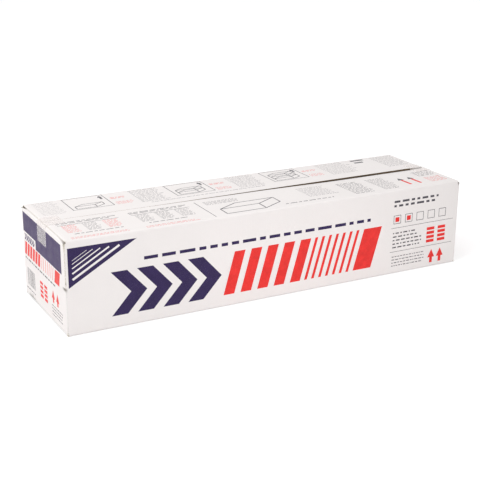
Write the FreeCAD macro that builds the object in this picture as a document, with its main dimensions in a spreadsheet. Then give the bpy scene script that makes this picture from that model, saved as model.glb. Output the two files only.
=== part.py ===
import FreeCAD, Part
import Sketcher
import math
import os

# A closed slotted carton of corrugated board, in mm. X runs along the length, Y from the front to the back, Z up.
# The origin is the middle of the footprint, on the surface that the carton rests on.
doc = FreeCAD.newDocument("carton")
sheet = doc.addObject("Spreadsheet::Sheet", "sizes")

# The goods set the inside of the carton, and the board is added around them.
SIZES = (
    ("section_length", 1219.0),
    ("stack_width", 335.0),
    ("stack_height", 236.0),
    ("end_clearance", 2.4),
    ("side_clearance", 4.0),
    ("headroom", 5.2),
    ("board_thickness", 4.0),
    ("crease_radius", 1.0),
    ("flap_clearance", 0.4),
    ("slot_margin", 1.0),
    ("glue_tab_width", 35.0),
    ("seam_gap", 0.6),
    ("seam_closed_length", 260.0),
    ("seam_opening", 9.0),
    ("tape_width", 72.0),
    ("tape_thickness", 0.1),
    ("tape_on_top", 50.0),
    ("tape_on_end", 60.0),
)
for row, (alias, size) in enumerate(SIZES, start=1):
    sheet.set(f"A{row}", alias)
    sheet.set(f"B{row}", str(size))
    sheet.setAlias(f"B{row}", alias)
doc.recompute()

# Sizes that follow from the sheet, as expressions
BOARD = "sizes.board_thickness"
INSIDE_BEND = "sizes.crease_radius"
OUTSIDE_BEND = f"({INSIDE_BEND} + {BOARD})"
HALF_LENGTH = f"(sizes.section_length / 2 + sizes.end_clearance + 2 * {BOARD})"
HALF_WIDTH = f"(sizes.stack_width / 2 + sizes.side_clearance + {BOARD})"
FLAP_PITCH = f"({BOARD} + sizes.flap_clearance)"
STACK_FOOT = f"({BOARD} + {FLAP_PITCH})"
TOP = f"(2 * {STACK_FOOT} + sizes.stack_height + sizes.headroom)"
END_CREASE_LOW = f"({FLAP_PITCH} + {OUTSIDE_BEND})"
END_CREASE_HIGH = f"({TOP} - {END_CREASE_LOW})"
SETBACK = f"({OUTSIDE_BEND} + sizes.slot_margin)"
FLAP_REACH = f"({HALF_WIDTH} - sizes.seam_gap / 2)"


def number(expression):
    return float(sheet.evalExpression(expression))


def new_body(label):
    body = doc.addObject("PartDesign::Body", label)
    body.Label = label
    return body


def new_sketch(body, name, plane):
    sketch = body.newObject("Sketcher::SketchObject", name)
    support = [feature for feature in body.Origin.OriginFeatures if feature.Role == plane][0]
    sketch.AttachmentSupport = [(support, "")]
    sketch.MapMode = "FlatFace"
    doc.recompute()
    return sketch


def bind(sketch, constraint, name, expression):
    sketch.addConstraint(constraint)
    sketch.renameConstraint(sketch.ConstraintCount - 1, name)
    sketch.setExpression(f"Constraints.{name}", expression)


def draw_loop(sketch, loop, steps):
    """Draws a closed outline. Each step is a corner and, where a bend starts at it, the bend's centre, radius and
    turn (1 to the left, -1 to the right). Every corner and radius is bound to the sheet."""
    corners = [FreeCAD.Vector(number(step[0]), number(step[1]), 0) for step in steps]
    ends = []
    for index, step in enumerate(steps):
        start = corners[index]
        finish = corners[(index + 1) % len(corners)]
        if len(step) == 2:
            geometry = sketch.addGeometry(Part.LineSegment(start, finish), False)
            ends.append((geometry, 1, 2))
            continue
        centre = FreeCAD.Vector(number(step[2]), number(step[3]), 0)
        turn = step[5]
        first, last = (start, finish) if turn > 0 else (finish, start)
        first_angle = math.atan2(first.y - centre.y, first.x - centre.x)
        last_angle = math.atan2(last.y - centre.y, last.x - centre.x)
        if last_angle < first_angle:
            last_angle += 2 * math.pi
        circle = Part.Circle(centre, FreeCAD.Vector(0, 0, 1), number(step[4]))
        geometry = sketch.addGeometry(Part.ArcOfCircle(circle, first_angle, last_angle), False)
        ends.append((geometry, 1, 2) if turn > 0 else (geometry, 2, 1))
    for index, step in enumerate(steps):
        geometry, near, far = ends[index]
        next_geometry, next_near, _ = ends[(index + 1) % len(ends)]
        sketch.addConstraint(Sketcher.Constraint("Coincident", geometry, far, next_geometry, next_near))
        corner = corners[index]
        across = Sketcher.Constraint("DistanceX", -1, 1, geometry, near, corner.x)
        bind(sketch, across, f"{loop}_{index}_across", step[0])
        if step[1] == "0":
            sketch.addConstraint(Sketcher.Constraint("PointOnObject", geometry, near, -1))
        else:
            along = Sketcher.Constraint("DistanceY", -1, 1, geometry, near, corner.y)
            bind(sketch, along, f"{loop}_{index}_along", step[1])
        if len(step) > 2:
            radius = Sketcher.Constraint("Radius", geometry, number(step[4]))
            bind(sketch, radius, f"{loop}_{index}_radius", step[4])


def pad(body, name, sketch, right, left):
    """Pads a sketch to both sides of its plane, by two expressions."""
    feature = body.newObject("PartDesign::Pad", name)
    feature.Profile = sketch
    feature.SideType = "Two sides"
    feature.setExpression("Length", right)
    feature.setExpression("Length2", left)
    body.Tip = feature
    doc.recompute()
    return feature


# The blank's four walls. Three corners are folds, and at the back right one the back wall's glue tab
# turns in behind the raw edge of the end wall.
carton = new_body("carton")
walls = new_sketch(carton, "walls_plan", "XY_Plane")
L = HALF_LENGTH
W = HALF_WIDTH
R = OUTSIDE_BEND
TAB_BEND = f"{L} - {BOARD} - {R}"
draw_loop(
    walls,
    "outer",
    (
        (f"-{L} + {R}", f"-{W}"),
        (f"{L} - {R}", f"-{W}", f"{L} - {R}", f"-{W} + {R}", R, 1),
        (L, f"-{W} + {R}"),
        (L, W),
        (f"{L} - {BOARD}", W),
        (f"{L} - {BOARD}", f"{W} - {R}", TAB_BEND, f"{W} - {R}", R, 1),
        (TAB_BEND, W),
        (f"-{L} + {R}", W, f"-{L} + {R}", f"{W} - {R}", R, 1),
        (f"-{L}", f"{W} - {R}"),
        (f"-{L}", f"-{W} + {R}", f"-{L} + {R}", f"-{W} + {R}", R, 1),
    ),
)
draw_loop(
    walls,
    "inner",
    (
        (f"-{L} + {R}", f"-{W} + {BOARD}"),
        (f"{L} - {R}", f"-{W} + {BOARD}", f"{L} - {R}", f"-{W} + {R}", INSIDE_BEND, 1),
        (f"{L} - {BOARD}", f"-{W} + {R}"),
        (f"{L} - {BOARD}", f"{W} - {BOARD} - sizes.glue_tab_width"),
        (f"{L} - 2 * {BOARD}", f"{W} - {BOARD} - sizes.glue_tab_width"),
        (f"{L} - 2 * {BOARD}", f"{W} - {R}", TAB_BEND, f"{W} - {R}", INSIDE_BEND, 1),
        (TAB_BEND, f"{W} - {BOARD}"),
        (f"-{L} + {R}", f"{W} - {BOARD}", f"-{L} + {R}", f"{W} - {R}", INSIDE_BEND, 1),
        (f"-{L} + {BOARD}", f"{W} - {R}"),
        (f"-{L} + {BOARD}", f"-{W} + {R}", f"-{L} + {R}", f"-{W} + {R}", INSIDE_BEND, 1),
    ),
)
walls.setExpression("AttachmentOffset.Base.z", END_CREASE_LOW)
doc.recompute()
wall_pad = carton.newObject("PartDesign::Pad", "walls")
wall_pad.Profile = walls
wall_pad.setExpression("Length", f"{END_CREASE_HIGH} - {END_CREASE_LOW}")
carton.Tip = wall_pad
doc.recompute()


def flap_outline(side, half_span, crease, bend_start, outer_face, inner_face, tip, upward):
    """A wall's last stretch up from the end creases, its bend and its flap. side is -1 or 1."""
    sign, back = ("-", "+") if side < 0 else ("", "-")
    turn = side if upward else -side
    outside = f"{sign}{half_span}"
    inside = f"{sign}{half_span} {back} {BOARD}"
    centre = f"{sign}{half_span} {back} {R}"
    bend_and_flap = (
        (outside, bend_start, centre, bend_start, R, turn),
        (centre, outer_face),
        (tip, outer_face),
        (tip, inner_face),
        (centre, inner_face, centre, bend_start, INSIDE_BEND, -turn),
        (inside, bend_start),
    )
    if crease == bend_start:
        return bend_and_flap
    return ((outside, crease),) + bend_and_flap + ((inside, crease),)


# The long flaps meet at the middle of the top and of the bottom. The back ones stop short of the glued corner.
for face, side, right_end in (("front", -1, L), ("back", 1, f"({L} - {BOARD})")):
    tip = f"{'-' if side < 0 else ''}sizes.seam_gap / 2"
    for level in ("top", "bottom"):
        upward = level == "top"
        name = f"{level}_{face}_flap"
        sketch = new_sketch(carton, f"{name}_section", "YZ_Plane")
        if upward:
            heights = (END_CREASE_HIGH, f"{TOP} - {R}", TOP, f"{TOP} - {BOARD}")
        else:
            heights = (END_CREASE_LOW, R, "0", BOARD)
        draw_loop(sketch, "flap", flap_outline(side, W, *heights, tip, upward))
        pad(carton, name, sketch, f"{right_end} - {SETBACK}", f"{L} - {SETBACK}")

# The end flaps are as deep as the long ones and tuck in behind them, so their creases sit one board further in.
for face, side in (("left", -1), ("right", 1)):
    tip = f"{'-' if side < 0 else ''}({L} - {FLAP_REACH})"
    for level in ("top", "bottom"):
        upward = level == "top"
        name = f"{level}_{face}_flap"
        sketch = new_sketch(carton, f"{name}_section", "XZ_Plane")
        if upward:
            heights = (END_CREASE_HIGH, END_CREASE_HIGH, f"{TOP} - {FLAP_PITCH}", f"{TOP} - {STACK_FOOT}")
        else:
            heights = (END_CREASE_LOW, END_CREASE_LOW, FLAP_PITCH, STACK_FOOT)
        draw_loop(sketch, "flap", flap_outline(side, L, *heights, tip, upward))
        pad(carton, name, sketch, f"{W} - {SETBACK}", f"{W} - {SETBACK}")

# The top seam is shut at its left end and opens towards the right, where the front flap was closed askew.
seam = new_sketch(carton, "seam_plan", "XY_Plane")
seam.setExpression("AttachmentOffset.Base.z", TOP)
FLAP_TIP = "-sizes.seam_gap / 2"
draw_loop(
    seam,
    "wedge",
    (
        (f"sizes.seam_closed_length - {L}", FLAP_TIP),
        (L, f"{FLAP_TIP} - sizes.seam_opening"),
        (L, FLAP_TIP),
    ),
)
doc.recompute()
whole_volume = carton.Shape.Volume
seam_cut = carton.newObject("PartDesign::Pocket", "seam_opening")
seam_cut.Profile = seam
seam_cut.setExpression("Length", f"{BOARD} + sizes.flap_clearance / 2")
carton.Tip = seam_cut
doc.recompute()
assert carton.Shape.Volume < whole_volume, "the seam opening cuts no board"

# A strip of tape over each end of the top seam, bent across the step of the flaps and down the end wall
parts = [carton]
for label, turned in (("tape_left_end", 0), ("tape_right_end", 180)):
    tape = new_body(label)
    sketch = new_sketch(tape, f"{label}_section", "XZ_Plane")
    WALL_FACE = f"-{L}"
    BEND_X = f"{SETBACK} - {L}"
    BEND_Z = f"{TOP} - {SETBACK}"
    TOP_END = f"{SETBACK} - {L} + sizes.tape_on_top"
    FOOT = f"{TOP} - sizes.tape_on_end"
    THICK = "sizes.tape_thickness"
    draw_loop(
        sketch,
        "strip",
        (
            (f"{WALL_FACE} - {THICK}", FOOT),
            (f"{WALL_FACE} - {THICK}", BEND_Z, BEND_X, BEND_Z, f"{SETBACK} + {THICK}", -1),
            (BEND_X, f"{TOP} + {THICK}"),
            (TOP_END, f"{TOP} + {THICK}"),
            (TOP_END, TOP),
            (BEND_X, TOP, BEND_X, BEND_Z, SETBACK, 1),
            (WALL_FACE, BEND_Z),
            (WALL_FACE, FOOT),
        ),
    )
    pad(tape, f"{label}_strip", sketch, "sizes.tape_width / 2", "sizes.tape_width / 2")
    tape.Placement = FreeCAD.Placement(FreeCAD.Vector(0, 0, 0), FreeCAD.Rotation(FreeCAD.Vector(0, 0, 1), turned))
    parts.append(tape)

# The packed goods stand on the bottom end flaps.
goods = doc.addObject("Part::Box", "packed_sections")
goods.Label = "packed_sections"
goods.setExpression("Length", "sizes.section_length")
goods.setExpression("Width", "sizes.stack_width")
goods.setExpression("Height", "sizes.stack_height")
goods.setExpression("Placement.Base.x", "-sizes.section_length / 2")
goods.setExpression("Placement.Base.y", "-sizes.stack_width / 2")
goods.setExpression("Placement.Base.z", STACK_FOOT)
parts.append(goods)
doc.recompute()

for item in doc.Objects:
    assert "Invalid" not in item.State and "Error" not in item.State, item.Name
os.makedirs("parts", exist_ok=True)
for item in parts:
    assert not item.Shape.isNull() and item.Shape.isValid(), item.Label
    assert len(item.Shape.Solids) == 1, item.Label
    item.Shape.exportStep(f"parts/{item.Label}.step")
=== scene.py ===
import math
import random
from collections import namedtuple

import bmesh
import bpy
from mathutils import Matrix, Vector, geometry, noise


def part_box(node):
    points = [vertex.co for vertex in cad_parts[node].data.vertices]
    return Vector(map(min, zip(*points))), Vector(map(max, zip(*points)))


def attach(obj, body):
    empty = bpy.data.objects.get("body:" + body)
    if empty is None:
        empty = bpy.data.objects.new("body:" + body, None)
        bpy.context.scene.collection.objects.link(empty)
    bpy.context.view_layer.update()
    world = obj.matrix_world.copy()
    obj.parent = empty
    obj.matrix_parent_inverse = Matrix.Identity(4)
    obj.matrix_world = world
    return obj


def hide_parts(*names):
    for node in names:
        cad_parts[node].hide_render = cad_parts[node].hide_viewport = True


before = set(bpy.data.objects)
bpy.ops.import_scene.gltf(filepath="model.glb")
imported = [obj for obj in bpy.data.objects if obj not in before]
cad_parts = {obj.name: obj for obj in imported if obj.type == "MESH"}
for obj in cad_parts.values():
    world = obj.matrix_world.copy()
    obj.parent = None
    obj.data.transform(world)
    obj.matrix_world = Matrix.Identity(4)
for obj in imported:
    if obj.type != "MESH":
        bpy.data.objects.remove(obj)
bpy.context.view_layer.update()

# Sizes in metres. The box comes from the frame, and the board and its folds repeat the part's own sizes.
# Places on the blank keep this many digits, so that neighbours share their points.
DIGITS = 5
_, carton_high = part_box("carton")
HALF_LENGTH, HALF_WIDTH, TOP = (round(side, DIGITS) for side in carton_high)
BOARD = 0.004
LINER = 0.0004
MEDIUM = 0.0003
FLUTE_PITCH = 0.0078
INNER_BEND = 0.001
BEND = INNER_BEND + BOARD
FLAP_CLEARANCE = 0.0004
FLAP_PITCH = BOARD + FLAP_CLEARANCE
SLOT_CLEARANCE = 0.001
SETBACK = BEND + SLOT_CLEARANCE
SLIT = 0.0006
GLUE_TAB = 0.035
GLUE_LINE = 0.0002
SEAM_GAP = 0.0006
SEAM_CLOSED = 0.26
SEAM_OPENING = 0.009
FLAP_REACH = HALF_WIDTH - SEAM_GAP / 2
GROOVE = 0.007
MM = 0.001
UP = Vector((0, 0, 1))

# The walls make a closed ring between these heights. The corner slots are cut past them.
SLOT_DEPTH = 0.007
RING_LOW = 0.001
RING_HIGH = TOP - SLOT_DEPTH

# Spacing of the mesh
GRID = 0.02
FOLD_STEPS = 8
ROWS_BELOW_NICK = 0.01
ROWS_ABOVE_NICK = 0.005
NICK_ROWS = 4
NEAR_FLAP_END = (0.0, 0.0015, 0.003, 0.006, 0.011, 0.018, 0.027)
FLAP_END_REACH = 0.04
END_WALL_MARGIN = 0.03
END_WALL_STEP = 0.003
FLUTE_STEPS = 10
SAME_PLACE = 1e-9

# The blank, laid flat. u runs round the carton, counterclockwise from above, and v runs up the walls and on
# along the flaps. Both are measured as if every fold were sharp. A panel lies flat from first to last, and
# its flaps fold at edge_low and edge_high.
Panel = namedtuple("Panel", "name corner along out start length edge_low edge_high first last flaps")
NO_FLAPS = -1.0


def make_panels():
    joint_x = HALF_LENGTH - BOARD - GLUE_LINE
    tab_length = BOARD + GLUE_TAB
    rows = (
        ("tab", (joint_x, HALF_WIDTH - tab_length), (0, 1), tab_length, NO_FLAPS, 0, BEND),
        ("back", (joint_x, HALF_WIDTH), (-1, 0), joint_x + HALF_LENGTH, 0.0, BEND, BEND),
        ("left", (-HALF_LENGTH, HALF_WIDTH), (0, -1), 2 * HALF_WIDTH, FLAP_PITCH, BEND, BEND),
        ("front", (-HALF_LENGTH, -HALF_WIDTH), (1, 0), 2 * HALF_LENGTH, 0.0, BEND, BEND),
        ("right", (HALF_LENGTH, -HALF_WIDTH), (0, 1), 2 * HALF_WIDTH, FLAP_PITCH, BEND, 0),
    )
    panels = {}
    start = 0.0
    for name, corner, along, length, edge, first, last in rows:
        axes = (Vector((*corner, 0)), Vector((*along, 0)), Vector((along[1], -along[0], 0)))
        flaps = edge != NO_FLAPS
        panels[name] = Panel(name, *axes, start, length, edge, TOP - edge, first, length - last, flaps)
        start += length
    return panels


PANELS = make_panels()
LONG_SIDES = ("front", "back")
ENDS = ("left", "right")
FRONT_LEFT = PANELS["front"].start


def panel_at(u):
    for panel in PANELS.values():
        if u <= panel.start + panel.length:
            return panel
    return PANELS["right"]


def rounded(s):
    """A point of a fold, at s past its sharp edge: how far it lies along the first face and along the second,
    and the weights of their two normals."""
    if s <= -BEND:
        return s, 0.0, 1.0, 0.0
    if s >= BEND:
        return 0.0, s, 0.0, 1.0
    angle = (s + BEND) / (2 * BEND) * math.pi / 2
    return BEND * (math.sin(angle) - 1), BEND * (1 - math.cos(angle)), math.cos(angle), math.sin(angle)


def ease(t):
    """Goes smoothly from 0 to 1 as t does, and stays level beyond."""
    t = min(1.0, max(0.0, t))
    return t * t * (3 - 2 * t)


def bell(distance, width):
    return math.exp(-((distance / width) ** 2))


def wave(x, y, seed, scales):
    """Smooth noise over a surface, from -1 to 1."""
    return noise.noise(Vector((x * scales[0], y * scales[1], seed)))


# How far the board stands proud of its plane: walls bow out, and the top flaps sag or lift at the seam
WALL_BOW = {"front": 0.0016, "back": 0.0012, "left": 0.0008, "right": 0.0008, "tab": 0.0}
BOW_POWER_ALONG = 0.6
BOW_POWER_UP = 0.8
WALL_RIPPLE = 0.0005
WALL_WAVES = (3.1, 7.0)
FLAP_RIPPLE = 0.0004
FLAP_WAVES = (2.3, 1.5)
FLAP_WAVE_SHIFT = 5
FLAP_FREEDOM = 1.2
FLAP_HOLD = 0.05
FRONT_FLAP_SAG = 0.002
SAG_START = 0.52
SAG_LENGTH = 0.22
BACK_FLAP_LIFT = 0.0013
LIFT_END = 0.8
LIFT_LENGTH = 0.4
END_FLAP_PRESS = 0.002


def relief(panel, a, v):
    if panel.edge_low < v < panel.edge_high:
        across = min(1.0, max(0.0, (a - panel.first) / (panel.last - panel.first)))
        height = (v - panel.edge_low) / (panel.edge_high - panel.edge_low)
        swell = max(0.0, math.sin(math.pi * across)) ** BOW_POWER_ALONG
        swell *= math.sin(math.pi * height) ** BOW_POWER_UP
        ripple = WALL_RIPPLE * wave(a, v, panel.start, WALL_WAVES)
        return WALL_BOW[panel.name] * swell + ripple * swell
    if v <= panel.edge_low:
        return 0.0
    across = a / panel.length
    reach = (v - panel.edge_high) / FLAP_REACH
    free = ease(reach * FLAP_FREEDOM)
    if panel.name in ENDS:
        return -free * END_FLAP_PRESS
    ripple = FLAP_RIPPLE * wave(a, reach, panel.start + FLAP_WAVE_SHIFT, FLAP_WAVES)
    if panel.name == "front":
        dip = ease((across - SAG_START) / SAG_LENGTH) * ease((1.0 - across) / FLAP_HOLD)
        return free * (-FRONT_FLAP_SAG * dip + ripple)
    lift = ease((LIFT_END - across) / LIFT_LENGTH) * ease(across / FLAP_HOLD)
    return free * (BACK_FLAP_LIFT * lift + ripple)


# How far the ends of the long top flaps are crushed, most of all near their folds at the left end
FLAP_END_CRUSH = 0.0014
CORNER_CRUSH = 0.0012
CORNER_CRUSH_END = 0.25
CORNER_CRUSH_FADE = 0.35
RIGHT_CRUSH_SHARE = 0.3
CRUSH_WIDTH = 0.0035
CRUSH_RISE = 20


def crush(panel, a, v):
    """How far the outer face is pressed towards the inner one."""
    if v <= panel.edge_high or panel.name not in LONG_SIDES:
        return 0.0
    reach = (v - panel.edge_high) / FLAP_REACH
    pressed = FLAP_END_CRUSH
    at_left_end = (panel.name == "front") == (a < panel.length / 2)
    if at_left_end:
        pressed += CORNER_CRUSH * (1 - ease((reach - CORNER_CRUSH_END) / CORNER_CRUSH_FADE))
    else:
        pressed *= RIGHT_CRUSH_SHARE
    return pressed * bell(min(a, panel.length - a) - SETBACK, CRUSH_WIDTH) * ease(reach * CRUSH_RISE)


# How far the end walls' folds sink: the lower ones under the load, least near the back of the left end, and
# the upper ones at the slots of the corners. Pairs are for a wall's first and last corner.
END_SINK = 0.0032
FOOT_LIFT = 0.0014
FOOT_LIFT_PLACE = 0.06
FOOT_LIFT_REACH = 0.045
SLOT_SINK = {"left": (0.0015, 0.0035), "right": (0.0015, 0.0015)}
SLOT_SINK_REACH = 0.024
SINK_BAND = 0.045
SINK_RISE = 0.04
SINK_FADE = 0.03


def sink(panel, a, v):
    if panel.name not in ENDS:
        return 0.0
    if v < panel.edge_low + SINK_BAND:
        past = (panel.edge_low - v) / BEND
        load = END_SINK
        if panel.name == "left":
            load -= FOOT_LIFT * bell(a - FOOT_LIFT_PLACE, FOOT_LIFT_REACH)
        return load * ease((panel.edge_low + SINK_BAND - v) / SINK_RISE) * (1 - ease(past))
    if v < panel.edge_high - SINK_BAND:
        return 0.0
    past = (v - panel.edge_high) / SINK_FADE
    hold = ease((v - panel.edge_high + SINK_BAND) / SINK_RISE) * (1 - ease(past))
    first, last = SLOT_SINK[panel.name]
    near = first * bell(a - SLOT_SINK_REACH / 2, SLOT_SINK_REACH)
    far = last * bell(panel.length - a - SLOT_SINK_REACH / 2, SLOT_SINK_REACH)
    return hold * (near + far)


# A dent beside the front left fold, and the rough stretch of fold above it
NICK_HEIGHT = 0.1275
NICK_PLACE = 0.01
NICK_LENGTH = 0.013
NICK_SIZE = 0.0045
NICK_DEPTH = 0.0024
ROUGH_RISE = 0.01
ROUGH_DEPTH = 0.0004
ROUGH_WAVES = (300, 160)
ROUGH_SEED = 2.0


def nick(u, v):
    """The dent, as a share of its depth."""
    return bell(u - (FRONT_LEFT - NICK_PLACE), NICK_LENGTH) * bell(v - NICK_HEIGHT, NICK_SIZE)


def chafe(u, v):
    """How far the board is pushed in, by the dent and the roughness."""
    past = u - FRONT_LEFT
    along_fold = max(0.0, 1 - (past / BEND) ** 2) * ease((v - NICK_HEIGHT) / ROUGH_RISE)
    rough = ROUGH_DEPTH * wave(past, v, ROUGH_SEED, ROUGH_WAVES)
    return NICK_DEPTH * nick(u, v) + along_fold * rough


def fold(u, v, depth=0.0):
    """The place of a point of the blank in the closed carton, at a depth under the board's outer face."""
    panel = panel_at(u)
    a = u - panel.start
    along, out = panel.along, panel.out
    dent = chafe(u, v)
    if a < panel.first:
        before, past, side, flat = rounded(a)
        normal = -along * side + out * flat
        return panel.corner + out * before + along * past + UP * v - normal * (depth + dent)
    if a > panel.last:
        before, past, side, flat = rounded(a - panel.length)
        normal = out * side + along * flat
        return panel.corner + along * (panel.length + before) - out * past + UP * v - normal * (depth + dent)
    lift = relief(panel, a, v) - dent - crush(panel, a, v) * (1 - depth / BOARD)
    if min(a, panel.length - a) < SETBACK - SLIT / 2:
        return panel.corner + along * a + UP * v + out * (lift - depth)
    base = panel.corner + along * a - UP * sink(panel, a, v)
    if v > panel.edge_high - BEND:
        before, past, side, flat = rounded(v - panel.edge_high)
        normal = out * side + UP * flat
        return base - out * past + UP * (panel.edge_high + before) + normal * (lift - depth)
    if v < panel.edge_low + BEND:
        before, past, side, flat = rounded(panel.edge_low - v)
        normal = out * side - UP * flat
        return base - out * past + UP * (panel.edge_low - before) + normal * (lift - depth)
    return base + UP * v + out * (lift - depth)


# Ink shapes, in millimetres as a viewer reads each face: x from its left, y from its lower edge
INKS = ("white", "navy", "red", "grey")
RAGGED_SHARE = 0.2
SHORT_WORD = 0.4
LONG_WORD = 1.5
WORD_GAP = 1.3
TALLY_GAP = 0.3
BAR_WIDTHS = (1.0, 1.0, 2.0, 3.0)
BAR_GAPS = (1.5, 1.5, 2.5)
CHEVRON_POINT = 0.45
PARCEL_SLOPE = 0.55
ARROW_SHAFT = 0.4


def bar(ink, x0, y0, x1, y1, lean=0.0):
    return ink, ((x0, y0), (x1, y0), (x1 + lean, y1), (x0 + lean, y1))


def stroke(ink, x0, y0, x1, y1, width):
    """A straight line of a given width."""
    length = math.hypot(x1 - x0, y1 - y0)
    dx = (y1 - y0) / length * width / 2
    dy = (x1 - x0) / length * width / 2
    return ink, ((x0 + dx, y0 - dy), (x1 + dx, y1 - dy), (x1 - dx, y1 + dy), (x0 - dx, y0 + dy))


def outline(ink, x0, y0, x1, y1, width):
    return (
        bar(ink, x0, y0, x1, y0 + width),
        bar(ink, x0, y1 - width, x1, y1),
        bar(ink, x0, y0 + width, x0 + width, y1 - width),
        bar(ink, x1 - width, y0 + width, x1, y1 - width),
    )


def text(ink, x0, y0, x1, y1, height, seed, pitch=9, word=10):
    """Rows of plain word-long dashes, as small print reads from afar."""
    draw = random.Random(seed)
    shapes = []
    y = y1 - height
    while y >= y0 - SAME_PLACE:
        x = x0
        line_end = x1 - draw.uniform(0, RAGGED_SHARE) * (x1 - x0)
        while x < line_end - height:
            length = min(draw.uniform(SHORT_WORD, LONG_WORD) * word, line_end - x)
            shapes.append(bar(ink, x, y, x + length, y + height))
            x += length + height * WORD_GAP
        y -= pitch
    return shapes


def tally(ink, x0, y0, x1, y1, columns, rows):
    """A block of short bars, as a pictogram of stacked lengths."""
    step_x = (x1 - x0) / (columns - TALLY_GAP)
    step_y = (y1 - y0) / (rows - TALLY_GAP)
    shapes = []
    for column in range(columns):
        left, right = x0 + step_x * column, x0 + step_x * (column + 1 - TALLY_GAP)
        for row in range(rows):
            low, high = y0 + step_y * row, y0 + step_y * (row + 1 - TALLY_GAP)
            shapes.append(bar(ink, left, low, right, high))
    return shapes


def bars(ink, x0, y0, x1, y1, seed):
    """Upright bars of mixed widths."""
    draw = random.Random(seed)
    shapes = []
    x = x0
    while x < x1 - max(BAR_WIDTHS):
        width = draw.choice(BAR_WIDTHS)
        shapes.append(bar(ink, x, y0, x + width, y1))
        x += width + draw.choice(BAR_GAPS)
    return shapes


def chevrons(ink, x0, y0, x1, y1, count, weight):
    """A row of arrowheads that point right. weight is each one's share of its pitch."""
    point = (y1 - y0) * CHEVRON_POINT
    pitch = (x1 - x0 - point) / (count - 1 + weight)
    middle = (y0 + y1) / 2
    shapes = []
    for index in range(count):
        left = x0 + pitch * index
        right = left + pitch * weight
        front = ((right, y0), (right + point, middle), (right, y1))
        shapes.append((ink, ((left, y0), *front, (left, y1), (left + point, middle))))
    return shapes


def stripe_row(ink, x0, y0, x1, y1, count, width, lean):
    """Slanted stripes of one width."""
    pitch = (x1 - x0 - lean - width) / (count - 1)
    return [bar(ink, x0 + pitch * i, y0, x0 + pitch * i + width, y1, lean) for i in range(count)]


def corner_flash(ink, stripe_ink, left, low, right, high, stripes, margin):
    """A corner triangle with stripes along its slanted side. stripes holds pairs of inset and width."""
    slope = math.atan2(high - low, right - left)
    shapes = [(ink, ((left, low), (right, high), (left, high)))]
    for inset, width in stripes:
        base = low + inset / math.cos(slope)
        y0 = base + margin * math.tan(slope)
        y1 = high - margin
        x1 = left + (y1 - base) / math.tan(slope)
        shapes.append(stroke(stripe_ink, left + margin, y0, x1, y1, width))
    return shapes


def parcel(ink, x, y, width, height, depth, weight):
    """A line drawing of a closed box."""
    rise = depth * PARCEL_SLOPE
    near = ((x, y), (x + width, y), (x + width, y + height), (x, y + height))
    far = [(px + depth, py + rise) for px, py in near]
    lines = list(zip(near, near[1:] + near[:1]))
    lines += [(near[i], far[i]) for i in (1, 2, 3)]
    lines += [(far[1], far[2]), (far[2], far[3])]
    return [stroke(ink, *start, *end, weight) for start, end in lines]


def arrow(ink, head_ink, x, y0, y1, width):
    """An upright arrow, whose head may have another ink than its shaft."""
    neck = y1 - width
    half_shaft = width * ARROW_SHAFT / 2
    shaft = bar(ink, x - half_shaft, y0, x + half_shaft, neck)
    return [shaft, (head_ink, ((x - width / 2, neck), (x + width / 2, neck), (x, y1)))]


def long_side_print():
    stripes = ((14, 6.0), (28, 4.5), (40, 3.0), (50, 1.8), (58, 1.2))
    shapes = corner_flash("navy", "white", 9, 131, 196, 238, stripes, margin=11)
    low, high, lean = 34, 156, 34
    shapes += chevrons("navy", 122, low, 440, high, count=4, weight=0.62)
    shapes += stripe_row("red", 446, low, 722, high, count=5, width=33, lean=lean)
    shapes += stripe_row("red", 702, low, 884, high, count=7, width=9, lean=lean)
    shapes.append(bar("red", 866, low, 928, high, lean))
    shapes += text("navy", 215, 175, 960, 185, height=9, seed=13, word=34)
    for rule in (68, 142):
        shapes.append(bar("grey", 995, rule, 1222, rule + 1.2))
    left = 1003
    shapes += text("grey", left, 198, 1180, 226, pitch=13, height=6.5, seed=207, word=18)
    low, high, size, pitch, boxes, marked, inset = 155, 181, 26, 41, 5, 2, 6
    for index in range(boxes):
        x0 = left + pitch * index
        x1 = x0 + size
        shapes += outline("grey", x0, low, x1, high, width=1.6)
        if index < marked:
            shapes.append(bar("red", x0 + inset, low + inset, x1 - inset, high - inset))
    shapes += text("grey", left, 80, 1112, 128, pitch=11, height=3.8, seed=15)
    shapes += tally("red", 1126, 79, 1195, 127, columns=2, rows=4)
    shapes += text("grey", left, 15, 1128, 54, pitch=9.5, height=2.4, seed=16, word=8)
    for x in (1148, 1180):
        shapes += arrow("red", "red", x, 13, 56, width=26)
    return shapes


def end_print():
    shapes = [("navy", ((12, 188), (118, 188), (118, 163), (327, 163), (327, 245), (12, 245)))]
    shapes += chevrons("navy", 20, 165, 108, 183, count=6, weight=0.6)
    low, high, lean = 122, 160, 9
    shapes += stripe_row("red", 14, low, 156, high, count=6, width=17, lean=lean)
    shapes += stripe_row("red", 160, low, 262, high, count=7, width=3, lean=lean)
    shapes.append(bar("red", 266, low, 304, high, lean))
    shapes += text("grey", 18, 108, 330, 114, height=4, seed=22, word=16)
    shapes += bars("grey", 30, 36, 96, 86, seed=24)
    shapes += text("grey", 15, 22, 110, 26, height=2.4, seed=23)
    shapes += tally("red", 140, 38, 200, 84, columns=2, rows=4)
    for x in (250, 284):
        shapes += arrow("red", "red", x, 58, 94, width=24)
    shapes += text("grey", 236, 22, 328, 50, pitch=8, height=2.2, seed=25)
    return shapes


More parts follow.
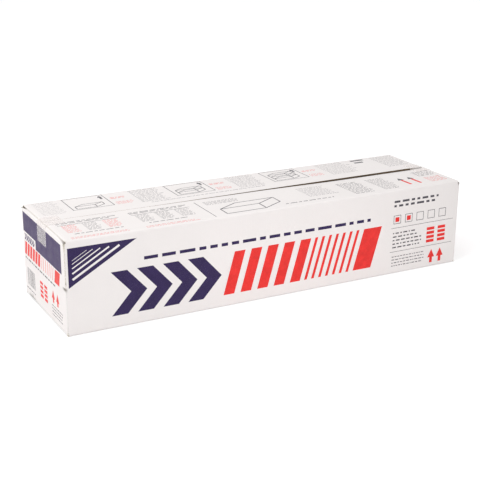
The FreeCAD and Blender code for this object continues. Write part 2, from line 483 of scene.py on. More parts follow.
def front_flap_print():
    shapes = []
    for left, right, seed, accent in ((26, 196, 31, "red"), (231, 404, 32, "grey")):
        shapes += text("grey", left, 128, right, 146, height=3.6, seed=seed, word=18)
        shapes.append(bar("grey", left, 122, right, 124))
        for column, ink in enumerate((accent, "grey", accent)):
            x0 = left + 8 + column * (right - left) / 3
            x1 = x0 + 42
            shapes += text(ink, x0, 58, x1, 118, pitch=8, height=2.2, seed=seed + 10 + column, word=9)
        x0, x1 = left + 20, right - 10
        shapes += text("grey", x0, 34, x1, 46, height=3.4, seed=seed + 20, word=14)
        shapes += text("red", left, 8, right, 20, pitch=8, height=2.0, seed=seed + 30, word=9)
    shapes.append(bar("grey", 430, 12, 432, 152))
    shapes += parcel("grey", 470, 22, width=120, height=44, depth=62, weight=3.4)
    shapes += text("grey", 452, 108, 560, 142, pitch=8, height=2.2, seed=61, word=9)
    shapes += text("grey", 655, 20, 848, 30, height=4.0, seed=62, word=15)
    shapes += text("grey", 752, 54, 850, 142, pitch=10, height=1.9, seed=63)
    shapes += text("grey", 884, 18, 958, 134, height=2.8, seed=64)
    shapes += text("grey", 986, 18, 1050, 134, height=2.4, seed=65)
    for x in (1086, 1122):
        shapes += arrow("red", "grey", x, 34, 106, width=22)
    shapes += text("grey", 1160, 88, 1222, 140, pitch=10, height=3.0, seed=67)
    shapes += text("red", 1160, 24, 1222, 76, pitch=10, height=2.6, seed=66)
    return shapes


def back_flap_print():
    """Seen from the front, with y from the front edge of the whole top."""
    shapes = []
    for parcels, left, seed in ((1, 110, 71), (2, 420, 72), (3, 736, 73)):
        shapes += outline("grey", left, 232, left + 120, 340, width=2.2)
        for level in range(parcels):
            low = 240 + 21 * level
            shapes += parcel("grey", left + 14, low, width=58, height=21, depth=26, weight=2.6)
        shapes += arrow("grey", "grey", left + 107, 300, 332, width=16)
        x0, x1 = left + 130, left + 182
        shapes += text("red", x0, 284, x1, 301, pitch=8, height=2.8, seed=seed, word=12)
        shapes += text("red", x0, 230, x1, 256, height=2.2, seed=seed + 5, word=12)
    columns = ((24, 92, 1.2), (308, 396, 2.2), (618, 712, 2.0), (934, 1044, 1.8), (1140, 1226, 2.0))
    for seed, (x0, x1, height) in enumerate(columns, 81):
        shapes += text("grey", x0, 222, x1, 336, pitch=11, height=height, seed=seed, word=11)
    for low, seed in ((298, 388), (322, 412)):
        shapes += text("grey", 1066, low, 1122, low + 15, height=11, seed=seed, word=40)
    shapes += text("grey", 330, 206, 700, 212, height=2.2, seed=91, word=12)
    return shapes


def place_print(shapes, u, v, turn=1):
    """Lays shapes on the blank with their corner at u and v, or upside down where turn is -1."""
    return [
        (INKS.index(ink), [(u + turn * x * MM, v + turn * y * MM) for x, y in points])
        for ink, points in shapes
    ]


def make_print():
    """The ink of each printed part of the blank, keyed by panel and part."""
    printed = {}
    for names, shapes in ((LONG_SIDES, long_side_print()), (ENDS, end_print())):
        for name in names:
            printed[name, "wall"] = place_print(shapes, PANELS[name].start, 0.0)
    printed["front", "top"] = place_print(front_flap_print(), FRONT_LEFT, TOP)
    far_end = PANELS["back"].start + PANELS["back"].length
    printed["back", "top"] = place_print(back_flap_print(), far_end, TOP + 2 * HALF_WIDTH, turn=-1)
    return printed


# Places of the mesh on the blank
def steps(start, end, spacing=GRID):
    count = max(1, round(abs(end - start) / spacing))
    return [round(start + (end - start) * index / count, DIGITS) for index in range(count + 1)]


def fold_steps(edge):
    """Places across a fold, from one face to the other."""
    return [edge + BEND * (2 * step / FOLD_STEPS - 1) for step in range(FOLD_STEPS + 1)]


def wall_rows():
    """Heights of the mesh rows of the walls, closer together from the nick upwards."""
    around = range(-NICK_ROWS, NICK_ROWS + 1)
    near_nick = [round(NICK_HEIGHT + step * NICK_SIZE / 2, DIGITS) for step in around]
    below = steps(RING_LOW, near_nick[0], ROWS_BELOW_NICK)
    above = steps(near_nick[-1], RING_HIGH, ROWS_ABOVE_NICK)
    return below[:-1] + near_nick + above[1:]


def wall_columns(panel):
    """Where the mesh columns of a wall stand, closer together near an end wall's folds."""
    first, last = panel.start + panel.first, panel.start + panel.last
    if panel.name not in ENDS:
        return steps(first, last)
    near, far = first + END_WALL_MARGIN, last - END_WALL_MARGIN
    return steps(first, near, END_WALL_STEP) + steps(near, far)[1:-1] + steps(far, last, END_WALL_STEP)


def flap_columns(panel):
    """Where the mesh columns of a flap stand along its fold, closer together near its ends."""
    first, last = panel.start + SETBACK, panel.start + panel.length - SETBACK
    columns = [first + n for n in NEAR_FLAP_END]
    columns += steps(first + FLAP_END_REACH, last - FLAP_END_REACH)
    columns += [last - n for n in reversed(NEAR_FLAP_END)]
    return [round(u, DIGITS) for u in columns]


def flap_end(panel, top, u):
    """How far a flap's free edge lies from its fold line. The front top flap was closed askew."""
    if not (top and panel.name == "front"):
        return FLAP_REACH
    share = max(0.0, (u - panel.start - SEAM_CLOSED) / (panel.length - SEAM_CLOSED))
    return round(FLAP_REACH - SEAM_OPENING * share, DIGITS)


def flap_lines(panel, top):
    """The height of a flap's fold line, the way it runs on from there, and its free edge."""
    edge, sign = (panel.edge_high, 1) if top else (panel.edge_low, -1)
    return edge, sign, [(u, edge + sign * flap_end(panel, top, u)) for u in flap_columns(panel)]


def grid_between(columns, rows):
    return [(u, v) for u in columns[1:-1] for v in rows]


def unique(loop):
    """A closed loop of points, without those that repeat."""
    return [point for point, after in zip(loop, loop[1:] + loop[:1]) if math.dist(point, after) > SAME_PLACE]


def wall_border(panel, rows):
    first, last = panel.start + panel.first, panel.start + panel.last
    if panel.flaps:
        columns = flap_columns(panel)
        bottom, top = panel.edge_low + BEND, panel.edge_high - BEND
        cheek, far_cheek = columns[0] - SLIT, columns[-1] + SLIT
        low = [(cheek, RING_LOW), (cheek, bottom)] + [(u, bottom) for u in columns]
        low += [(far_cheek, bottom), (far_cheek, RING_LOW)]
        high = [(far_cheek, RING_HIGH), (far_cheek, top)] + [(u, top) for u in reversed(columns)]
        high += [(cheek, top), (cheek, RING_HIGH)]
    else:
        columns = steps(first, last)
        low = [(u, RING_LOW) for u in columns]
        high = [(u, RING_HIGH) for u in reversed(columns)]
    right = [(last, v) for v in rows]
    left = [(first, v) for v in reversed(rows)]
    return unique(low + right + high + left)


# The board's mesh. Its paints are the inks, and then the bare boards.
PAINT_WHITE = INKS.index("white")
PAINT_KRAFT = len(INKS)
PAINT_CRUSHED = PAINT_KRAFT + 1
# PAINT_SLOT_SHADE is dark kraft, painted shade for the cut edges in the corner slots and under the bottom
# flaps.
PAINT_SLOT_SHADE = PAINT_CRUSHED + 1
TRIANGLES_INSIDE = 1
MERGE_DISTANCE = 1e-8


class Sheet:
    """The folded board as a mesh: an outer and an inner face, and the rim between them."""

    def __init__(self):
        self.points = []
        self.places = []
        self.index = {}
        self.faces = []
        self.paints = []
        self.taken = set()
        self.liner_edges = {}

    def vertex(self, u, v, depth):
        key = (round(u, DIGITS), round(v, DIGITS), round(depth, DIGITS))
        if key not in self.index:
            self.index[key] = len(self.points)
            self.points.append(fold(*key))
            self.places.append(key)
        return self.index[key]

    def face(self, corners, paint):
        if len(set(corners)) == len(corners):
            self.faces.append(corners)
            self.paints.append(paint)

    def tile(self, places, depth, paint):
        """A face of the outer side, or of the inner one, which winds the other way."""
        corners = [self.vertex(u, v, depth) for u, v in places]
        self.face(corners if depth == 0 else corners[::-1], paint)


def patch(sheet, border, inner_points, shapes, depth, paint):
    """Fills a border of the blank with triangles that follow the printed shapes."""
    points = [Vector(p) for p in border]
    loops = [list(range(len(points)))]
    for _, corners in shapes:
        first = len(points)
        points += [Vector(c) for c in corners]
        loops.append(list(range(first, len(points))))
    points += [Vector(p) for p in inner_points]
    made, _, faces, _, _, sources = geometry.delaunay_2d_cdt(
        points, [], loops, TRIANGLES_INSIDE, MERGE_DISTANCE
    )
    for corners, found in zip(faces, sources):
        if 0 not in found:
            continue
        top_shape = max(found)
        ink = shapes[top_shape - 1][0] if top_shape else paint
        sheet.tile([made[c] for c in corners], depth, ink)


def strip(sheet, us, vs, depth, paint):
    """A regular grid of the blank, for the folds."""
    for u0, u1 in zip(us, us[1:]):
        for v0, v1 in zip(vs, vs[1:]):
            sheet.tile(((u0, v0), (u1, v0), (u1, v1), (u0, v1)), depth, paint)


def flap_face(sheet, panel, shapes, depth, paint, top):
    edge, sign, free = flap_lines(panel, top)
    columns = [u for u, _ in free]
    strip(sheet, columns, fold_steps(edge), depth, paint)
    left_side, right_side = (
        [(u, edge + sign * n) for n in steps(BEND, flap_end(panel, top, u))[1:-1]]
        for u in (columns[0], columns[-1])
    )
    near = [(u, edge + sign * BEND) for u in columns]
    border = near + right_side + free[::-1] + left_side[::-1]
    rows = steps(BEND, FLAP_REACH - SEAM_OPENING - GRID / 2)[1:]
    inside = grid_between(columns, [edge + sign * n for n in rows])
    patch(sheet, border if top else border[::-1], inside, shapes, depth, paint)


def make_faces(sheet, printed, depth, paint):
    """One face of the board, over the whole blank."""
    rows = wall_rows()
    for panel in PANELS.values():
        inner_rows = [v for v in rows if panel.edge_low + BEND < v < panel.edge_high - BEND]
        inside = grid_between(wall_columns(panel), inner_rows)
        shapes = printed.get((panel.name, "wall"), [])
        patch(sheet, wall_border(panel, rows), inside, shapes, depth, paint)
        if panel.last < panel.length:
            strip(sheet, fold_steps(panel.start + panel.length), rows, depth, paint)
        if panel.flaps:
            flap_face(sheet, panel, printed.get((panel.name, "top"), []), depth, paint, top=True)
            flap_face(sheet, panel, [], depth, paint, top=False)


def flap_runs():
    """The free edges of the long flaps, as runs along the blank with the way into the board."""
    for name in LONG_SIDES:
        for top in (True, False):
            _, sign, run = flap_lines(PANELS[name], top)
            yield run, -sign * GROOVE


def groove_run(sheet, run, inward):
    """The raw edge of a stretch of rim: two liners with a groove between them."""
    last = len(run) - 1
    near, far = LINER, BOARD - LINER
    outer, upper, lower, inner = ([sheet.vertex(*p, depth) for p in run] for depth in (0.0, near, far, BOARD))
    roof, floor = (
        {i: sheet.vertex(run[i][0], run[i][1] + inward, depth) for i in range(1, last)}
        for depth in (near, far)
    )
    for i in (0, last):
        sheet.liner_edges[outer[i]] = [upper[i], lower[i]]
    for i in range(last):
        j = i + 1
        sheet.taken.update(((outer[i], outer[j]), (outer[j], outer[i])))
        quads = [(outer, upper), (lower, inner)]
        quads += [(upper, lower)] if i == 0 or j == last else [(upper, roof), (roof, floor), (floor, lower)]
        for above, below in quads:
            sheet.face([above[i], above[j], below[j], below[i]], PAINT_KRAFT)
    for i in (1, last - 1):
        sheet.face([upper[i], roof[i], floor[i], lower[i]], PAINT_KRAFT)


def make_rim(sheet):
    """Joins the two faces along the cut edges. Those in the slots and underneath get painted shade."""
    index = sheet.index
    inner_of = {i: index.get((u, v, BOARD)) for (u, v, depth), i in index.items() if depth == 0}
    directed = set()
    for corners in sheet.faces:
        if all(c in inner_of for c in corners):
            directed.update(zip(corners, corners[1:] + corners[:1]))
    for a, b in sorted(directed):
        if (b, a) in directed or (a, b) in sheet.taken:
            continue
        heights = [sheet.places[c][1] for c in (a, b)]
        # Edges in the slots and on the bottom flaps get dark kraft as painted shade.
        in_shade = all(TOP / 2 < v < TOP for v in heights) or max(heights) <= 0
        down = [a] + sheet.liner_edges.get(a, []) + [inner_of[a]]
        up = [inner_of[b]] + sheet.liner_edges.get(b, [])[::-1] + [b]
        sheet.face(down + up, PAINT_SLOT_SHADE if in_shade else PAINT_CRUSHED)


def mesh_object(name, points, faces, paints, materials, sharp=None):
    """A piece whose faces all look outwards. Given an angle, it is smooth but for edges that are sharper."""
    mesh = bpy.data.meshes.new(name)
    mesh.from_pydata([tuple(p) for p in points], [], faces)
    for material in materials:
        mesh.materials.append(material)
    mesh.polygons.foreach_set("material_index", paints)
    mesh.update()
    shape = bmesh.new()
    shape.from_mesh(mesh)
    bmesh.ops.recalc_face_normals(shape, faces=shape.faces)
    for face in shape.faces:
        face.smooth = bool(sharp)
    shape.to_mesh(mesh)
    shape.free()
    if sharp:
        mesh.set_sharp_from_angle(angle=math.radians(sharp))
    item = bpy.data.objects.new(name, mesh)
    bpy.context.collection.objects.link(item)
    return item


# Wear, and painted shade. A mark is strongest at its place, and fades over its width.
class Mark(namedtuple("Mark", "share place width")):
    def at(self, distance):
        return self.share * bell(distance - self.place, self.width)


CORNER_WEAR = Mark(0.3, 0.0, 0.006)
EDGE_WEAR = Mark(0.26, 0.0, 0.005)
MEETING_WEAR_ALONG = Mark(0.45, 0.0, 0.012)
MEETING_WEAR_UP = Mark(1.0, 0.0, 0.014)
FRONT_LEFT_WEAR = Mark(0.45, 0.0, 0.0055)
# Painted shade in the nick's dent.
NICK_SHADE = 0.75
# Painted shade on the end flaps in the corner slots, in the gaps under the long flaps' ends.
SLOT_SHADE = {"left": (1.0, 0.5), "right": (0.8, 0.8)}
SLOT_SHADE_START = 0.0005
SLOT_SHADE_RISE = 0.002
# Painted shadow along the left end's bottom fold, where it stands off the floor near the back.
FOOT_SHADOW = Mark(0.95, FOOT_LIFT_PLACE, 0.026)
WIDE_FOOT_SHADOW = Mark(0.3, 0.12, 0.06)
FOOT_SHADOW_UP = Mark(1.0, 0.0022, 0.0035)
# Painted shade along the front left fold, a little darker towards the bottom.
FOLD_SHADE = Mark(1.0, 0.001, 0.0045)
FOLD_SHADE_LOW = 0.26
FOLD_SHADE_LOSS = 0.05
FOLD_SHADE_RISE = 0.06
# Painted shade at the slot of the front left top corner.
LEFT_CORNER_SHADE = Mark(0.3, -0.002, 0.003)
LEFT_CORNER_HEIGHT = 0.009
LEFT_CORNER_RISE = 0.006
# Painted shade at the slot of the front right top corner.
RIGHT_CORNER_SHADE = Mark(1.0, -0.003, 0.006)
RIGHT_CORNER_UP = Mark(1.0, -0.001, 0.005)


def wear_at(u, v):
    """How rubbed the outer face is, from 0 to 1: along the folds, most of all at the corners."""
    panel = panel_at(u)
    a = u - panel.start
    to_corner = min(a, panel.length - a)
    to_edge = min(abs(v - panel.edge_low), abs(panel.edge_high - v))
    worn = CORNER_WEAR.at(to_corner) + EDGE_WEAR.at(to_edge)
    worn += MEETING_WEAR_ALONG.at(to_corner) * MEETING_WEAR_UP.at(to_edge)
    worn += FRONT_LEFT_WEAR.at(u - FRONT_LEFT) * ease((v - NICK_HEIGHT + NICK_SIZE) / NICK_SIZE)
    return min(1.0, worn)


def painted_shade_at(u, v):
    """How dark the outer face is painted as shade, from 0 to 1: in the nick, on the end flaps in the corner
    slots, as a shadow along the left end's bottom fold, along the front left fold, and at the front top
    corners."""
    panel = panel_at(u)
    a = u - panel.start
    dark = NICK_SHADE * nick(u, v)
    if panel.name in ENDS:
        first, last = SLOT_SHADE[panel.name]
        past_setback = max(0.0, min(a, panel.length - a) - SETBACK)
        in_slot = ease((v - panel.edge_high - SLOT_SHADE_START) / SLOT_SHADE_RISE)
        dark += (first if a < panel.length / 2 else last) * in_slot * bell(past_setback, SLOT_SINK_REACH)
    if panel.name == "left":
        dark += (FOOT_SHADOW.at(a) + WIDE_FOOT_SHADOW.at(a)) * FOOT_SHADOW_UP.at(v - panel.edge_low)
    past_left = u - FRONT_LEFT
    above_ring = v - RING_HIGH
    dark += (FOLD_SHADE_LOW - FOLD_SHADE_LOSS * ease(v / FOLD_SHADE_RISE)) * FOLD_SHADE.at(past_left)
    dark += LEFT_CORNER_SHADE.at(past_left) * ease((above_ring + LEFT_CORNER_HEIGHT) / LEFT_CORNER_RISE)
    dark += RIGHT_CORNER_SHADE.at(u - PANELS["right"].start) * RIGHT_CORNER_UP.at(above_ring)
    return min(1.0, dark)


def make_carton(materials):
    sheet = Sheet()
    make_faces(sheet, make_print(), 0.0, PAINT_WHITE)
    make_faces(sheet, {}, BOARD, PAINT_KRAFT)
    for run, inward in flap_runs():
        groove_run(sheet, run, inward)
    make_rim(sheet)
    carton = mesh_object("folded_carton", sheet.points, sheet.faces, sheet.paints, materials, sharp=35)
    # The last of these attributes is how dark shade is painted on the outer face.
    for name, values in (
        ("girth", [u for u, _, _ in sheet.places]),
        ("wear", [wear_at(u, v) for u, v, _ in sheet.places]),
        ("painted_shade", [painted_shade_at(u, v) for u, v, _ in sheet.places]),
    ):
        carton.data.attributes.new(name, "FLOAT", "POINT").data.foreach_set("value", values)
    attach(carton, "root")
    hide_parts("carton")


# The fluting fills these shares of its groove
FLUTING_NEAR = 0.06
FLUTING_FAR = 0.98


def make_fluting(material):
    """The wavy middle layer, where the long flaps' free edges cut it."""
    points, faces = [], []
    swing = BOARD / 2 - LINER - MEDIUM / 2
    section = ((0, 1), (1, 3), (3, 2), (2, 0))
    corners = len(section)
    for run, inward in flap_runs():
        us = steps(run[1][0], run[-2][0], FLUTE_PITCH / FLUTE_STEPS)
        begin = len(points)
        for u in us:
            place = next(i for i in range(len(run) - 1) if u <= run[i + 1][0] + SAME_PLACE)
            (u0, v0), (u1, v1) = run[place], run[place + 1]
            edge = v0 + (v1 - v0) * (u - u0) / (u1 - u0)
            middle = BOARD / 2 + swing * math.cos(2 * math.pi * u / FLUTE_PITCH)
            for share in (FLUTING_NEAR, FLUTING_FAR):
                for side in (-MEDIUM / 2, MEDIUM / 2):
                    points.append(fold(u, edge + inward * share, middle + side))
        last = len(points) - corners
        for a in range(begin, last, corners):
            b = a + corners
            for i, j in section:
                faces.append((a + i, a + j, b + j, b + i))
        for cap in (begin, last):
            faces.append(tuple(cap + i for i, _ in section))
    fluting = mesh_object("board_fluting", points, faces, [0] * len(faces), [material])
    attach(fluting, "root")


# Tape over the ends of the top seam, with toothed cut ends and a few puckers
TAPE_WIDTH = 0.072
TAPE_ON_TOP = 0.05
TAPE_ON_END = 0.06
TAPE_EDGE = HALF_LENGTH - SETBACK
TAPE_ARC = SETBACK * math.pi / 2
TAPE_LENGTH = TAPE_ON_TOP + TAPE_ARC + TAPE_ON_END - SETBACK
TAPE_FILM = 0.0001
TAPE_LIFT = 0.00006
TAPE_COLUMN = 0.001
TAPE_ROW = 0.0016
TAPE_TOOTH = 0.0007
TOOTH_FADE = 20
PUCKER = 0.00025
PUCKER_WAVES = (60, 90)


def top_surface(x, y):
    """A point of the closed top, as seen from above. Past a flap's end it keeps the flap's height."""
    if y < 0:
        panel = PANELS["front"]
        a, v = x - panel.corner.x, TOP + y + HALF_WIDTH
    else:
        panel = PANELS["back"]
        a, v = panel.corner.x - x, TOP + HALF_WIDTH - y
    a = min(panel.length - SETBACK, max(SETBACK, a))
    return Vector((x, y, fold(panel.start + a, v).z))


def tape_path(side, y, s):
    """A point and normal under the tape: s runs from its end on the top, over the edge and down the end."""
    outward = Vector((side, 0, 0))
    if s < TAPE_ON_TOP:
        return top_surface(side * (TAPE_EDGE - TAPE_ON_TOP + s), y), UP
    if s < TAPE_ON_TOP + TAPE_ARC:
        angle = (s - TAPE_ON_TOP) / SETBACK
        centre = Vector((side * TAPE_EDGE, y, TOP - SETBACK))
        normal = outward * math.sin(angle) + UP * math.cos(angle)
        drop = (TOP - top_surface(side * TAPE_EDGE, y).z) * (1 - (s - TAPE_ON_TOP) / TAPE_ARC)
        return centre + normal * SETBACK - UP * drop, normal
    z = TOP - SETBACK - (s - TAPE_ON_TOP - TAPE_ARC)
    if z > RING_HIGH:
        return Vector((side * HALF_LENGTH, y, z)), outward
    a = HALF_WIDTH + side * y
    return fold(PANELS["left" if side < 0 else "right"].start + a, z), outward


def tape_points(side, ys, along, lift, seed):
    points = []
    for s in along:
        share = s / TAPE_LENGTH
        toothed = (1 - 2 * share) ** TOOTH_FADE * (1 if share < 0.5 else -1)
        for column, y in enumerate(ys):
            jag = TAPE_TOOTH if column % 2 else -TAPE_TOOTH
            at = min(TAPE_LENGTH, max(0.0, s + jag * toothed))
            point, normal = tape_path(side, y, at)
            pucker = max(0.0, wave(at, y, seed, PUCKER_WAVES)) * PUCKER
            points.append(point + normal * (lift + pucker))
    return points


def film_faces(width, rows):
    """The faces of a film: two layers of points, each in rows of one width, and the rim between them."""
    layer = width * rows
    faces = []
    for row in range(rows - 1):
        for column in range(width - 1):
            a = row * width + column
            quad = (a, a + 1, a + width + 1, a + width)
            faces.append(quad)
            faces.append(tuple(layer + c for c in reversed(quad)))
    rim = [row * width for row in range(rows)]
    rim += [(rows - 1) * width + column for column in range(1, width)]
    rim += [row * width + width - 1 for row in range(rows - 2, -1, -1)]
    rim += list(range(width - 2, 0, -1))
    for a, b in zip(rim, rim[1:] + rim[:1]):
        faces.append((a, b, b + layer, a + layer))
    return faces


def make_tape(name, node, side, seed, material):
    ys = steps(-TAPE_WIDTH / 2, TAPE_WIDTH / 2, TAPE_COLUMN)
    along = steps(0.0, TAPE_LENGTH, TAPE_ROW)
    points = tape_points(side, ys, along, TAPE_LIFT, seed)
    points += tape_points(side, ys, along, TAPE_LIFT + TAPE_FILM, seed)
    faces = film_faces(len(ys), len(along))
    tape = mesh_object(name, points, faces, [0] * len(faces), [material], sharp=50)
    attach(tape, "root")
    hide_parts(node)


# Materials. Most of a noise lies between NOISE_LOW and NOISE_HIGH.
WHITE = (1.0, 1.0, 1.0)
LINER_WHITE = (0.855, 0.815, 0.803)
INK_COLOURS = {"navy": (0.030, 0.018, 0.078), "red": (0.795, 0.034, 0.030), "grey": (0.085, 0.078, 0.092)}
SHEEN_TINTS = {"navy": (0.75, 0.5, 1.0), "red": (1.0, 0.6, 0.55), "grey": WHITE}
KRAFT = (0.36, 0.255, 0.155)
CRUSHED = (0.79, 0.75, 0.69)
RUBBED = (0.66, 0.615, 0.52)
# Dark kraft: painted shade on the cut edges in the slots and under the bottom flaps.
SLOT_SHADE_KRAFT = (0.12, 0.095, 0.06)
# Dark brown for the specks of dirt on worn folds, and for the painted shade.
GRIME_AND_SHADE = (0.11, 0.095, 0.07)
TAPE_DULL = (0.980, 0.930, 0.912)
TAPE_CLEAR = (0.992, 0.945, 0.928)
PAPER_ROUGHNESS = (0.46, 0.60)
INK_ROUGHNESS = (0.40, 0.52)
NOISE_LOW = 0.3
NOISE_HIGH = 0.7


class Nodes:
    """Short calls for building one material."""

    def __init__(self, name):
        self.material = bpy.data.materials.new(name)
        self.material.use_nodes = True
        self.tree = self.material.node_tree
        self.shader = self.tree.nodes["Principled BSDF"]

    def put(self, value, socket):
        """Links an output to a socket, or sets it to a constant."""
        if isinstance(value, bpy.types.NodeSocket):
            self.tree.links.new(value, socket)
        elif socket.type == "RGBA":
            socket.default_value = (*value, 1.0)
        else:
            socket.default_value = value

    def add(self, kind, inputs, **settings):
        node = self.tree.nodes.new("ShaderNode" + kind)
        for key, value in settings.items():
            setattr(node, key, value)
        for key, value in inputs.items():
            self.put(value, node.inputs[key])
        return node

    def shade(self, inputs):
        for key, value in inputs.items():
            self.put(value, self.shader.inputs[key])

    def attribute(self, name):
        return self.add("Attribute", {}, attribute_name=name).outputs["Fac"]

    def noise(self, scale, detail=3.0, roughness=0.55, stretch=None):
        place = self.add("TexCoord", {}).outputs["Object"]
        if stretch:
            place = self.add("Mapping", {"Vector": place, "Scale": stretch}).outputs["Vector"]
        inputs = {"Vector": place, "Scale": scale, "Detail": detail, "Roughness": roughness}
        return self.add("TexNoise", inputs).outputs["Fac"]

    def remap(self, value, low, high, new_low, new_high):
        inputs = {"Value": value, "From Min": low, "From Max": high, "To Min": new_low, "To Max": new_high}
        return self.add("MapRange", inputs).outputs["Result"]

    def spread(self, value, low=0.0, high=1.0):
        return self.remap(value, NOISE_LOW, NOISE_HIGH, low, high)

    def rise(self, value, start, end, most):
        return self.remap(value, start, end, 0.0, most)

    def math(self, operation, *values):
        return self.add("Math", dict(enumerate(values)), operation=operation).outputs["Value"]

    def mix(self, share, first, second):
        node = self.add("Mix", {0: share}, data_type="RGBA")
        for value, socket in zip((first, second), [s for s in node.inputs if s.type == "RGBA"]):
            self.put(value, socket)
        return next(s for s in node.outputs if s.type == "RGBA")

    def bump(self, height, distance, strength, below=None):
        inputs = {"Height": height, "Distance": distance, "Strength": strength}
        if below:
            inputs["Normal"] = below
        return self.add("Bump", inputs).outputs["Normal"]


def tinted(colour, share):
    return tuple(c * share for c in colour)


def worn_and_shaded(n, colour):
    """Rubs the folds to the brown with specks of dirt where the mesh has wear, and paints shade where it has
    shade.
    """
    wear = n.attribute("wear")
    grit = n.noise(420.0, detail=6.0, roughness=0.7)
    rubbed = n.math("MULTIPLY_ADD", wear, 0.62, grit)
    colour = n.mix(n.rise(rubbed, start=0.86, end=1.0, most=0.85), colour, RUBBED)
    specks = n.math("MULTIPLY_ADD", wear, 0.26, n.noise(260.0, detail=2.0, roughness=0.5))
    colour = n.mix(n.rise(specks, start=0.84, end=0.92, most=0.85), colour, GRIME_AND_SHADE)
    # Painted shade, from the mesh's shade attribute with a little grit.
    shaded = n.math("MULTIPLY_ADD", grit, 0.25, n.attribute("painted_shade"))
    return n.mix(n.rise(shaded, start=0.25, end=0.85, most=0.92), colour, GRIME_AND_SHADE)


def printed_liner(name, ink=None, sheen_tint=None):
    """White coated paper over flutes, bare or under one ink."""
    n = Nodes(name)
    fibre = n.noise(700.0, roughness=0.6, stretch=(1.0, 1.0, 0.35))
    blotch = n.spread(n.noise(9.0, detail=4.0))
    paper = n.mix(blotch, tinted(LINER_WHITE, 0.975), LINER_WHITE)
    paper = n.mix(n.rise(fibre, start=0.35, end=0.75, most=0.35), paper, tinted(LINER_WHITE, 0.93))
    colour = paper
    if ink:
        laid = n.mix(n.spread(n.noise(60.0, detail=5.0)), tinted(ink, 0.88), tinted(ink, 1.08))
        starved = n.rise(n.noise(1500.0, detail=2.0), start=0.64, end=0.85, most=0.3)
        colour = n.mix(starved, laid, paper)
        n.shade({"Sheen Weight": 0.1, "Sheen Roughness": 0.5, "Sheen Tint": sheen_tint})
    gloss = n.spread(n.noise(40.0, detail=4.0), *(INK_ROUGHNESS if ink else PAPER_ROUGHNESS))
    n.shade({"Base Color": worn_and_shaded(n, colour), "Roughness": gloss})
    flutes = n.math("SINE", n.math("MULTIPLY", n.attribute("girth"), 2 * math.pi / FLUTE_PITCH))
    washboard = n.bump(flutes, distance=0.00006, strength=0.5)
    grain = n.bump(fibre, distance=0.0001, strength=0.25, below=washboard)
    n.shade({"Specular IOR Level": 0.15, "Normal": grain})
    return n.material


def kraft_board(name, colour):
    n = Nodes(name)
    fibre = n.noise(500.0, detail=6.0, roughness=0.7, stretch=(1.0, 1.0, 0.3))
    fleck = n.rise(n.noise(1800.0, detail=2.0), start=0.62, end=0.75, most=0.5)
    tone = n.mix(n.spread(fibre), tinted(colour, 0.8), tinted(colour, 1.15))
    grain = n.bump(fibre, distance=0.0003, strength=0.4)
    n.shade({"Base Color": n.mix(fleck, tone, tinted(colour, 0.5)), "Roughness": n.spread(fibre, 0.75, 0.95)})
    n.shade({"Specular IOR Level": 0.25, "Normal": grain})
    return n.material


def hazy_tape():
    """Cloudy film, with a share of the haze on each of its two faces."""
    n = Nodes("hazy_tape")
    streak = n.noise(90.0, detail=4.0, roughness=0.6, stretch=(0.3, 1.0, 0.3))
    bubble = n.noise(240.0, roughness=0.6)
    cloud = n.rise(bubble, start=0.5, end=0.7, most=0.02)
    haze = n.math("ADD", n.spread(streak, 0.228, 0.268), cloud)
    n.shade({"Base Color": n.mix(n.spread(streak), TAPE_DULL, TAPE_CLEAR), "Alpha": haze})
    grain = n.bump(bubble, distance=0.0002, strength=0.06)
    n.shade({"Roughness": n.spread(bubble, 0.22, 0.38), "Normal": grain})
    return n.material


def black_plastic():
    n = Nodes("black_plastic")
    grain = n.noise(350.0, detail=4.0)
    n.shade({"Base Color": n.mix(grain, tinted(WHITE, 0.018), tinted(WHITE, 0.04))})
    n.shade({"Roughness": n.spread(grain, 0.45, 0.6), "Normal": n.bump(grain, distance=0.0002, strength=0.3)})
    return n.material


board_materials = [printed_liner("white_liner")]
board_materials += [printed_liner(f"{ink}_ink", INK_COLOURS[ink], SHEEN_TINTS[ink]) for ink in INKS[1:]]
bare_boards = (("kraft", KRAFT), ("crushed_edge", CRUSHED), ("shaded_slot_edge", SLOT_SHADE_KRAFT))
board_materials += [kraft_board(name, colour) for name, colour in bare_boards]
make_carton(board_materials)
make_fluting(kraft_board("fluting", tinted(KRAFT, 0.85)))
tape_material = hazy_tape()
make_tape("left_end_tape", "tape_left_end", -1, 3.0, tape_material)
make_tape("right_end_tape", "tape_right_end", 1, 8.0, tape_material)
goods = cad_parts["packed_sections"]
goods.data.materials.clear()
goods.data.materials.append(black_plastic())

# The stage: a white floor that keeps a soft shadow, and a white world
FLOOR_REACH = 8.0
FLOOR_HEIGHT = -0.0003
FLOOR_GLOW = 0.29
WORLD_LIGHT = 0.78


def seen_strength(tree, unseen, shown):
    """The strength shown, for rays that see the stage itself, straight, reflected or through a clear thing,
    and the strength unseen, for the light that it gives."""
    path = tree.nodes.new("ShaderNodeLightPath")
    seen = path.outputs["Is Camera Ray"]
    for kind in ("Is Glossy Ray", "Is Transmission Ray"):
        either = tree.nodes.new("ShaderNodeMath")
        either.operation = "MAXIMUM"
        tree.links.new(seen, either.inputs[0])
        tree.links.new(path.outputs[kind], either.inputs[1])
        seen = either.outputs["Value"]
    strength = tree.nodes.new("ShaderNodeMapRange")
    strength.inputs["To Min"].default_value = unseen
    strength.inputs["To Max"].default_value = shown
    tree.links.new(seen, strength.inputs["Value"])
    return strength.outputs["Result"]


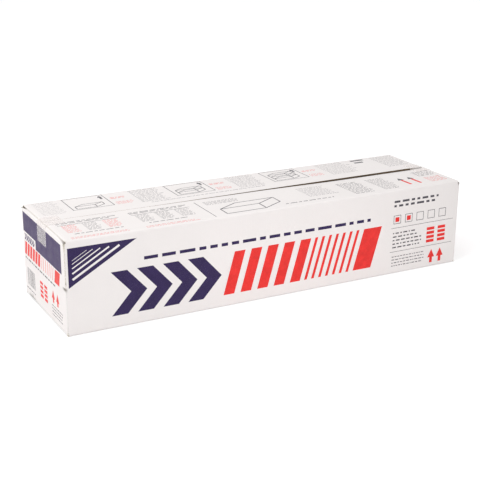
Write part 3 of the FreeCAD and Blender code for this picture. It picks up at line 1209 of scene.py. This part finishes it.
def make_floor():
    mesh = bpy.data.meshes.new("floor")
    turns = ((-1, -1), (1, -1), (1, 1), (-1, 1))
    mesh.from_pydata([(x * FLOOR_REACH, y * FLOOR_REACH, FLOOR_HEIGHT) for x, y in turns], [], [(0, 1, 2, 3)])
    floor = bpy.data.objects.new("floor", mesh)
    bpy.context.collection.objects.link(floor)
    n = Nodes("floor_white")
    n.shade({"Base Color": tinted(WHITE, 0.9), "Roughness": 0.9, "Specular IOR Level": 0.1})
    n.shade({"Emission Color": WHITE, "Emission Strength": seen_strength(n.tree, 0.0, FLOOR_GLOW)})
    mesh.materials.append(n.material)


def make_world():
    world = bpy.data.worlds.new("white_room")
    bpy.context.scene.world = world
    world.use_nodes = True
    tree = world.node_tree
    shader = tree.nodes["Background"]
    shader.inputs["Color"].default_value = (*WHITE, 1.0)
    tree.links.new(seen_strength(tree, WORLD_LIGHT, 1.0), shader.inputs["Strength"])


def soft_light(name, place, target, size, power, spread=180):
    data = bpy.data.lights.new(name, "AREA")
    data.shape = "DISK"
    data.size = size
    data.energy = power
    data.spread = math.radians(spread)
    lamp = bpy.data.objects.new(name, data)
    lamp.location = place
    lamp.rotation_euler = (Vector(target) - Vector(place)).to_track_quat("-Z", "Y").to_euler()
    bpy.context.collection.objects.link(lamp)


make_floor()
make_world()
soft_light("key", (-3.7, -1.5, 2.8), (-0.1, 0, 0.1), size=3.0, power=60)
soft_light("overhead", (-0.8, 0.4, 2.4), (-0.5, 0, 0.25), size=2.0, power=10)
soft_light("fill", (0.04, -2.4, 0.46), (0.0, -0.17, 0.0), size=0.8, power=0.6, spread=48)

# The camera, as fitted to the photograph's corners. The focal length is a share of the picture's width.
CAMERA_PLACE = (-1.4169, -2.6058, 1.1364)
CAMERA_YAW = math.radians(28.018)
CAMERA_PITCH = math.radians(-19.054)
CAMERA_ROLL = math.radians(0.386)
FOCAL_SHARE = 1077.84 / 480
SENSOR = 36.0


def make_camera():
    data = bpy.data.cameras.new("camera")
    data.sensor_width = SENSOR
    data.lens = FOCAL_SHARE * SENSOR
    camera = bpy.data.objects.new("camera", data)
    turn = Matrix.Rotation(-CAMERA_YAW, 4, "Z")
    tilt = Matrix.Rotation(math.pi / 2 + CAMERA_PITCH, 4, "X")
    roll = Matrix.Rotation(CAMERA_ROLL, 4, "Z")
    camera.matrix_world = Matrix.Translation(CAMERA_PLACE) @ turn @ tilt @ roll
    bpy.context.collection.objects.link(camera)
    bpy.context.scene.camera = camera


make_camera()
bpy.context.scene.view_settings.view_transform = "Standard"
